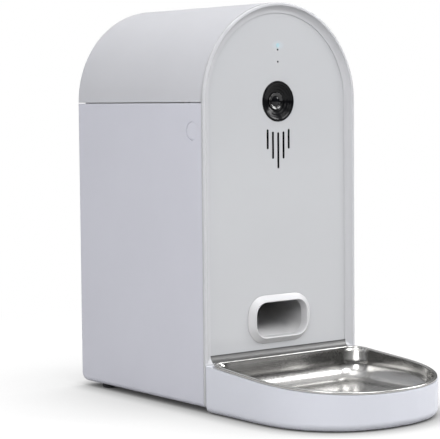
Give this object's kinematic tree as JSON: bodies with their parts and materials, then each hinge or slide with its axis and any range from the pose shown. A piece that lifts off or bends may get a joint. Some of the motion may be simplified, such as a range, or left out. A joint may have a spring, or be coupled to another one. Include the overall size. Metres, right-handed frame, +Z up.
{
  "type": "automatic pet feeder with camera",
  "caption": "Arched upright dry-food feeder with a hinged hopper lid, front camera and speaker slots, a rounded outlet and a steel bowl in a pull-out tray.",
  "frame": {"origin": "on the floor, under the middle of the whole object's box", "axes": "+X to the right seen from the front, -Y to the front, +Z up"},
  "size_m": [0.1906, 0.3916, 0.3885],
  "materials": {
    "housing_white": "fine satin moulded surface",
    "inner_white": "plain moulded surface",
    "panel_grey": "glossy, cool light grey",
    "black_plastic": "black, half gloss",
    "lens_glass": "coated glass",
    "light_blue": "lit light guide",
    "bowl_steel": "drawn stainless steel",
    "shaft_steel": "ground steel",
    "screw_steel": "zinc plated",
    "spring_steel": "spring strip",
    "rubber_dark": "matt",
    "seal_grey": "silicone",
    "board_green": "printed board with parts",
    "gear_ivory": "acetal",
    "bush_brass": "sintered",
    "motor_metal": "plated can",
    "cone_black": "speaker paper"
  },
  "bodies": {
    "housing": {"main_housing": "housing_white", "base_cover": "inner_white", "base_screws": "screw_steel", "rubber_feet": "rubber_dark", "front_frame": "housing_white", "front_panel": "panel_grey", "sensor_board": "board_green", "microphones": "black_plastic", "status_light": "light_blue", "camera_ring": "black_plastic", "camera_barrel": "black_plastic", "camera_lens": "lens_glass", "camera_board": "board_green", "speaker_frame": "black_plastic", "speaker_cone": "cone_black", "main_board": "board_green", "bay_cover": "inner_white", "bay_screws": "screw_steel", "outlet_collar": "housing_white", "food_chute": "inner_white", "leg_screws": "screw_steel", "rotor_case": "inner_white", "rotor_end_cover": "inner_white", "rotor_bushes": "bush_brass", "drive_frame": "motor_metal", "gear_motor": "motor_metal", "drive_screws": "screw_steel", "hopper": "inner_white", "hinge_pins": "shaft_steel", "power_inlet": "black_plastic", "tray_guides": "inner_white", "lock_spring_left": "spring_steel", "lock_spring_right": "spring_steel"},
    "lid": {"lid_shell": "housing_white", "lid_liner": "inner_white", "lid_seal": "seal_grey", "desiccant_box": "inner_white"},
    "desiccant_cap": {"desiccant_cap": "inner_white"},
    "left_button": {"lock_button_left": "housing_white"},
    "right_button": {"lock_button_right": "housing_white"},
    "rotor": {"rotor": "gear_ivory", "rotor_shaft": "shaft_steel", "rotor_gear": "gear_ivory"},
    "pinion": {"motor_pinion": "bush_brass", "motor_shaft": "shaft_steel"},
    "tray": {"bowl_tray": "housing_white", "tray_feet": "rubber_dark"},
    "bowl": {"steel_bowl": "bowl_steel"}
  },
  "joints": [
    {"name": "lid_hinge", "type": "hinge", "parent": "housing", "child": "lid", "pos_m": [0, 0.1922, 0.2935], "axis": [-1, 0, 0], "range_deg": [0, 80]},
    {"name": "desiccant_cap_turn", "type": "hinge", "parent": "lid", "child": "desiccant_cap", "pos_m": [0, 0.0987, 0.2942], "axis": [0, 0, 1], "range_deg": [0, 35]},
    {"name": "left_button_press", "type": "slide", "parent": "housing", "child": "left_button", "axis": [1, 0, 0], "range_m": [0, 0.0025], "stiffness_N_per_m": 1200, "springref_m": -0.0005, "deforming": ["lock_spring_left"]},
    {"name": "right_button_press", "type": "slide", "parent": "housing", "child": "right_button", "axis": [-1, 0, 0], "range_m": [0, 0.0025], "stiffness_N_per_m": 1200, "springref_m": -0.0005, "deforming": ["lock_spring_right"]},
    {"name": "rotor_spin", "type": "hinge", "parent": "housing", "child": "rotor", "pos_m": [0, 0.0302, 0.15], "axis": [1, 0, 0], "continuous": true},
    {"name": "pinion_spin", "type": "hinge", "parent": "housing", "child": "pinion", "pos_m": [0, 0.0602, 0.15], "axis": [1, 0, 0], "continuous": true},
    {"name": "tray_slide", "type": "slide", "parent": "housing", "child": "tray", "axis": [0, -1, 0], "range_m": [0, 0.06]},
    {"name": "bowl_lift", "type": "slide", "parent": "tray", "child": "bowl", "axis": [0, 0, 1], "range_m": [0, 0.06]}
  ],
  "couplings": [
    {"joint": "pinion_spin", "follows": "rotor_spin", "ratio": -3}
  ]
}
